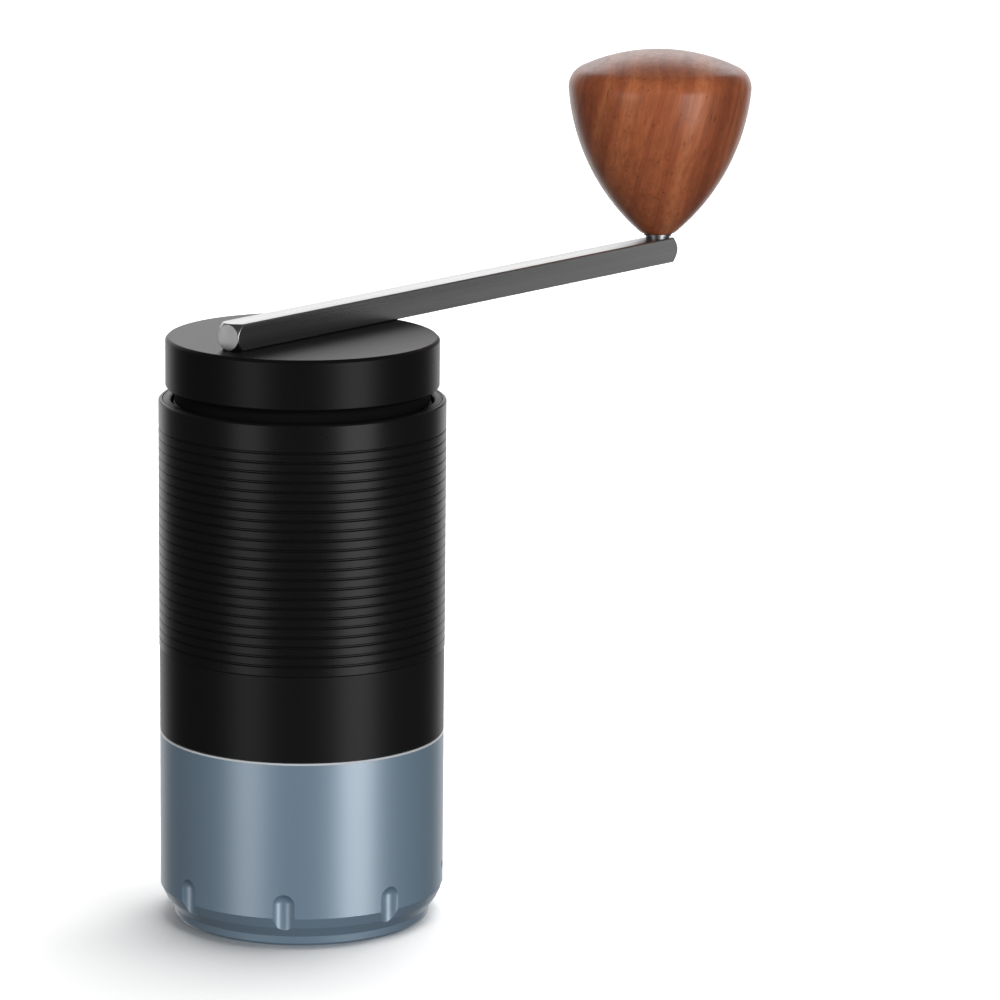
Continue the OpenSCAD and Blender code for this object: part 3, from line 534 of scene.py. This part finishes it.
def catch_cup():
    """The cup with its stepped foot, a coved foot wall and the finger notches cut from below."""
    keeper_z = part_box("keeper_ring")[0].z
    bore = CUP_R - CUP_WALL
    bowl = bore - LEDGE
    outline = soften([
        (0.0, 0.0),
        (FOOT_R - FOOT_LEAN - FOOT_CHAMFER_W, 0.0),
        (FOOT_R - FOOT_LEAN, FOOT_CHAMFER_H),
        (FOOT_R, FOOT_WALL),
        ((FOOT_R + CUP_R) / 2 + COVE_BULGE, (FOOT_WALL + FOOT_H) / 2),
        (CUP_R, FOOT_H),
        (CUP_R, cup_hi.z - EDGE),
        (CUP_R - EDGE, cup_hi.z),
        (bore + MOUTH_EDGE, cup_hi.z),
        (bore, cup_hi.z - MOUTH_EDGE),
        (bore, keeper_z),
        (bowl, keeper_z),
        (bowl, CUP_FLOOR + BOWL_CORNER_H),
        (bowl - BOWL_CORNER_W, CUP_FLOOR),
        (0.0, CUP_FLOOR),
    ], 0.12 * MM, 3)
    mesh = lathe_mesh("catch_cup_shell", outline, 240, closed=False)
    obj = add_object("catch_cup_shell", mesh, weighted=False)
    tools = []
    for i in range(NOTCHES):
        a = math.radians(NOTCH_ANGLE + 360 * i / NOTCHES)
        reach = CUP_R - NOTCH_DEPTH + NOTCH_R
        place = (reach * math.cos(a), reach * math.sin(a))
        tools.append(capsule(f"notch_{i}", NOTCH_R, -1 * MM, NOTCH_TOP, place))
    boolean(obj, tools, "DIFFERENCE")
    finish_mesh(obj.data, 25)
    even = obj.modifiers.new("even_normals", "WEIGHTED_NORMAL")
    even.keep_sharp = True
    return dress(obj, "blue_grey_anodised", "catch_cup")


# ------------------------------------------------------------------ body

TUBE_WALL = 1.6 * MM
SLEEVE_WALL = 0.75 * MM
SLIP = 0.05 * MM
GROOVES = 23
GROOVE_PITCH = 1.857 * MM
GROOVE_W = 0.5 * MM
GROOVE_DEPTH = 0.3 * MM
GROOVE_FLAT = 0.45
GROOVE_START = 5.4 * MM


def body_tube():
    """The tube with the thicker plain band under the sleeve."""
    outer = BODY_R - SLEEVE_WALL - SLIP
    inner = outer - TUBE_WALL
    low = tube_lo.z
    outline = soften([
        (inner, low),
        (BAND_R - EDGE, low),
        (BAND_R, low + EDGE),
        (BAND_R, sleeve_lo.z),
        (outer, sleeve_lo.z),
        (outer, RIM_Z - FINE_EDGE),
        (outer - FINE_EDGE, RIM_Z),
        (inner + EDGE, RIM_Z),
        (inner, RIM_Z - EDGE),
    ], 0.1 * MM, 3, closed=True)
    return dress(lathe("body_tube_shell", outline), "black_anodised", "body_tube")


def grip_sleeve():
    """The sleeve, with V grooves that have a narrow flat floor."""
    inner = BODY_R - SLEEVE_WALL
    low = sleeve_lo.z
    outline = [(inner, RIM_Z), (inner, low), (BODY_R - FINE_EDGE, low), (BODY_R, low + FINE_EDGE)]
    half = GROOVE_W / 2
    flat = half * GROOVE_FLAT
    deep = BODY_R - GROOVE_DEPTH
    for i in reversed(range(GROOVES)):
        z = RIM_Z - GROOVE_START - i * GROOVE_PITCH
        outline += [(BODY_R, z - half), (deep, z - flat), (deep, z + flat), (BODY_R, z + half)]
    outline += [(BODY_R, RIM_Z - EDGE), (BODY_R - EDGE, RIM_Z)]
    obj = lathe("grip_sleeve_shell", soften(outline, 0.09 * MM, 2, closed=True), 180, sharp=50)
    return dress(obj, "sleeve_black", "grip_sleeve")


# ------------------------------------------------------------------ lid

LID_EDGE = 0.55 * MM
NECK_WALL = 3.2 * MM
NECK_GAP = 0.7 * MM
LID_TOP = 2.4 * MM


def lid_cap():
    """The lid: a flat cap over a neck with a seat for the seal."""
    neck = BODY_R - SLEEVE_WALL - SLIP - TUBE_WALL - NECK_GAP
    neck_in = neck - NECK_WALL
    low = RIM_Z + LID_GAP
    top = lid_hi.z
    seal_lo, seal_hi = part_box("lid_seal")
    slot_r = seal_hi.x - (seal_hi.z - seal_lo.z)
    outline = soften([
        (0.0, top),
        (LID_R - LID_EDGE, top),
        (LID_R, top - LID_EDGE),
        (LID_R, low + LID_EDGE),
        (LID_R - LID_EDGE, low),
        (neck, low),
        (neck, seal_hi.z + SLIP),
        (slot_r, seal_hi.z + SLIP),
        (slot_r, seal_lo.z - SLIP),
        (neck, seal_lo.z - SLIP),
        (neck, lid_lo.z + EDGE),
        (neck - EDGE, lid_lo.z),
        (neck_in, lid_lo.z),
        (neck_in, top - LID_TOP),
        (0.0, top - LID_TOP),
    ], 0.3 * MM, 4)
    return dress(lathe("lid_cap_shell", outline, closed=False), "black_anodised", "lid_cap", "lid_black")


# ------------------------------------------------------------------ crank arm

ARM_FACE_R = 2.5 * MM
ARM_CONE = 1.4 * MM
ARM_PIN_R = 1.5 * MM
ARM_TURNED_SHARE = 0.68
ARM_EDGE = 0.13 * MM


def crank_arm():
    """A square bar whose two ends are turned to a cone and a round face."""
    length = arm_hi.x - arm_lo.x
    middle = (arm_lo + arm_hi) / 2
    bm = bmesh.new()
    bmesh.ops.create_cube(bm, size=1.0)
    bmesh.ops.scale(bm, vec=(length, ARM_SIDE, ARM_SIDE), verts=bm.verts)
    bmesh.ops.translate(bm, vec=middle, verts=bm.verts)
    mesh = bpy.data.meshes.new("crank_arm_bar")
    bm.to_mesh(mesh)
    bm.free()
    obj = add_object("crank_arm_bar", mesh, weighted=False)
    full_r = ARM_SIDE * ARM_TURNED_SHARE
    outline = [
        (0.0, 0.0),
        (ARM_FACE_R, 0.0),
        (full_r, ARM_CONE),
        (full_r, length - ARM_CONE),
        (ARM_FACE_R, length),
        (0.0, length),
    ]
    turned = add_object("turned", lathe_mesh("turned", outline, 128, closed=False), weighted=False)
    turned.matrix_world = Matrix.Translation((arm_lo.x, 0, middle.z)) @ Matrix.Rotation(math.pi / 2, 4, "Y")
    boolean(obj, [turned], "INTERSECT")
    under = arm_lo.z - MM
    over = arm_hi.z + MM
    hole = [(0.0, under), (ARM_PIN_R, under), (ARM_PIN_R, over), (0.0, over)]
    drill = add_object("drill", lathe_mesh("drill", hole, 48, (KNOB_X, 0.0), closed=False), weighted=False)
    boolean(obj, [drill], "DIFFERENCE")
    bevelled(obj, ARM_EDGE, 12)
    return dress(obj, "arm_steel", "crank_arm")


# ------------------------------------------------------------------ knob

KNOB_FOOT_R = 3.45 * MM
KNOB_WIDE_R = 18.86 * MM
KNOB_SHOULDER = 29.9 * MM
KNOB_SIDE_ARC = 44.2 * MM
KNOB_DOME_ARC = 38.5 * MM
KNOB_ROUND = 4.5 * MM
KNOB_FOOT_EDGE_W = 0.15 * MM
KNOB_FOOT_EDGE_H = 0.3 * MM


def knob_outline():
    """Side arc, rounded shoulder and dome, which meet on tangents."""
    foot = Vector((KNOB_FOOT_R, knob_lo.z))
    wide = Vector((KNOB_WIDE_R, knob_lo.z + KNOB_SHOULDER))
    chord = wide - foot
    across = Vector((-chord.y, chord.x)).normalized()
    side = (foot + wide) / 2 + across * math.sqrt(KNOB_SIDE_ARC ** 2 - chord.length_squared / 4)
    dome = Vector((0.0, knob_hi.z - KNOB_DOME_ARC))
    span = dome - side
    to_side = KNOB_SIDE_ARC - KNOB_ROUND
    to_dome = KNOB_DOME_ARC - KNOB_ROUND
    along = (to_side ** 2 - to_dome ** 2 + span.length_squared) / (2 * span.length)
    unit = span.normalized()
    shoulder = side + unit * along + Vector((-unit.y, unit.x)) * math.sqrt(to_side ** 2 - along ** 2)
    side_end = math.degrees(math.atan2(shoulder.y - side.y, shoulder.x - side.x))
    dome_start = math.degrees(math.atan2(shoulder.y - dome.y, shoulder.x - dome.x))
    side_start = -math.degrees(math.asin((side.y - foot.y - KNOB_FOOT_EDGE_H) / KNOB_SIDE_ARC))
    points = [(KNOB_FOOT_R - KNOB_FOOT_EDGE_W, knob_lo.z)]
    points += arc(side, KNOB_SIDE_ARC, side_start, side_end, 40)
    points += arc(shoulder, KNOB_ROUND, side_end, dome_start, 16)[1:]
    points += arc(dome, KNOB_DOME_ARC, dome_start, 90, 30)[1:]
    points[-1] = (0.0, knob_hi.z)
    return points


def knob():
    """The turned knob, bored for its bush and pin."""
    bush_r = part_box("knob_bush")[1].y
    bore_top = pin_hi.z + MM
    inside = [(0.0, bore_top), (bush_r, bore_top), (bush_r, knob_lo.z)]
    outline = inside + knob_outline()
    obj = lathe("knob_body", outline, 192, (KNOB_X, 0.0), closed=False)
    return dress(obj, "knob_wood", "knob")


catch_cup()
body_tube()
grip_sleeve()
lid_cap()
crank_arm()
knob()

# ------------------------------------------------------------------ CAD nodes that show as they are

SLOTS = {row["node"]: row["material_slot"] for row in frame["record"]["subparts"]}
for node_name, node in NODES.items():
    if not node.hide_render:
        paint(node, SLOTS[node_name])

# ------------------------------------------------------------------ stage, light and camera

CAMERA_AZIMUTH = -139.6
CAMERA_DISTANCE = 0.9494
CAMERA_HEIGHT = 0.2862
CAMERA_TURN = -2.284
CAMERA_PITCH = 12.156
CAMERA_ROLL = 0.576
CAMERA_LENS = 182.4
SENSOR = 36.0


def camera():
    """The camera, at the viewing angle and distance fitted to the grinder's outline."""
    data = bpy.data.cameras.new("camera")
    data.lens = CAMERA_LENS
    data.sensor_width = SENSOR
    data.clip_start = 0.05
    data.clip_end = 50
    obj = bpy.data.objects.new("camera", data)
    bpy.context.scene.collection.objects.link(obj)
    place = math.radians(CAMERA_AZIMUTH)
    heading = math.radians(CAMERA_AZIMUTH + 180 + CAMERA_TURN)
    turn = Matrix.Rotation(heading - math.pi / 2, 4, "Z")
    pitch = Matrix.Rotation(math.radians(90 - CAMERA_PITCH), 4, "X")
    roll = Matrix.Rotation(math.radians(CAMERA_ROLL), 4, "Z")
    spot = (CAMERA_DISTANCE * math.cos(place), CAMERA_DISTANCE * math.sin(place), CAMERA_HEIGHT)
    obj.matrix_world = Matrix.Translation(spot) @ turn @ pitch @ roll
    bpy.context.scene.camera = obj


def beside_camera(angle, distance, height):
    """A place at an angle from the camera's side of the grinder, positive to the right of the picture."""
    a = math.radians(CAMERA_AZIMUTH + angle)
    return Vector((distance * math.cos(a), distance * math.sin(a), height))


def softbox(name, place, target, width, height, power):
    """A rectangular area light that faces a point."""
    data = bpy.data.lights.new(name, "AREA")
    data.shape = "RECTANGLE"
    data.size = width
    data.size_y = height
    data.energy = power
    obj = bpy.data.objects.new(name, data)
    bpy.context.scene.collection.objects.link(obj)
    look = (Vector(target) - Vector(place)).to_track_quat("-Z", "Y")
    obj.matrix_world = Matrix.Translation(place) @ look.to_matrix().to_4x4()
    return obj


def floor():
    """A pale floor that takes shadows but isn't mirrored or bounced on to the grinder."""
    bpy.ops.mesh.primitive_plane_add(size=40)
    obj = bpy.context.object
    obj.name = "floor"
    s = Shader("floor_paint")
    cloud = s.noise(s.place, 3.0, 2)
    s.set(Base_Color=s.mix(cloud, (0.93, 0.93, 0.93), (0.95, 0.95, 0.95)), Roughness=0.9)
    s.set(Specular_IOR_Level=0.0)
    obj.data.materials.append(s.material)
    obj.visible_glossy = False
    obj.visible_diffuse = False
    obj.visible_shadow = False
    return obj


def surroundings():
    """A studio that is bright behind the grinder and darker to its sides."""
    world = bpy.data.worlds.new("studio")
    bpy.context.scene.world = world
    world.use_nodes = True
    tree = world.node_tree
    tree.nodes.clear()
    output = tree.nodes.new("ShaderNodeOutputWorld")
    background = tree.nodes.new("ShaderNodeBackground")
    place = tree.nodes.new("ShaderNodeTexCoord")
    toward = tree.nodes.new("ShaderNodeVectorMath")
    toward.operation = "DOT_PRODUCT"
    away = math.radians(CAMERA_AZIMUTH + 180)
    toward.inputs[1].default_value = (math.cos(away), math.sin(away), 0.0)
    ramp = tree.nodes.new("ShaderNodeValToRGB")
    shift = tree.nodes.new("ShaderNodeMapRange")
    shift.inputs["From Min"].default_value = -1
    tree.links.new(place.outputs["Generated"], toward.inputs[0])
    tree.links.new(toward.outputs["Value"], shift.inputs["Value"])
    tree.links.new(shift.outputs[0], ramp.inputs[0])
    tree.links.new(ramp.outputs[0], background.inputs[0])
    tree.links.new(background.outputs[0], output.inputs[0])
    points = ramp.color_ramp.elements
    stops = [(0.0, 0.07), (0.50, 0.07), (0.85, 0.11), (0.94, 1.35)]
    while len(points) < len(stops):
        points.new(0.5)
    for point, (position, level) in zip(points, stops):
        point.position = position
        point.color = (level, level, level, 1)


def only(light, receiver, state="INCLUDE"):
    """Lets a light reach one object only, or all but that one; everything still throws its shadow."""
    group = bpy.data.collections.new(light.name + "_receiver")
    group.objects.link(receiver)
    group.collection_objects[0].light_linking.link_state = state
    light.light_linking.receiver_collection = group


def lights(stage_floor):
    """Each softbox: angle, distance and height of its place, the point it faces, its size and its watts."""
    softbox("right_box", beside_camera(44, 0.95, 0.04), (0, 0, 0.04), 0.48, 0.82, 4.3)
    softbox("left_box", beside_camera(-43, 0.95, 0.04), (0, 0, 0.04), 0.42, 0.82, 1.9)
    softbox("ceiling", beside_camera(175, 1.2, 0.75), (0, 0, 0.12), 1.2, 0.5, 1.5)
    only(softbox("floor_box", beside_camera(120, 0.34, 1.0), (0, 0, 0.05), 0.9, 0.9, 13.0), stage_floor)
    far = (*beside_camera(180, 2.2, 0.0).xy, 0)
    only(softbox("far_floor_box", beside_camera(180, 1.6, 1.6), far, 3.0, 2.0, 60), stage_floor)
    fill = softbox("front_fill", beside_camera(0, 1.3, 0.9), (0, 0, 0.1), 0.8, 0.5, 16)
    fill.visible_glossy = False
    only(fill, stage_floor, "EXCLUDE")
    arm = bpy.data.objects["crank_arm_bar"]
    middle = ((arm_lo.x + arm_hi.x) / 2, 0, arm_lo.z)
    only(softbox("arm_side_card", beside_camera(124, 1.0, -0.05), middle, 0.6, 0.6, 0.6), arm)
    only(softbox("arm_end_card", beside_camera(-80, 0.8, -0.02), middle, 0.3, 0.3, 0.19), arm)


camera()
surroundings()
lights(floor())
bpy.context.scene.view_settings.view_transform = "Standard"
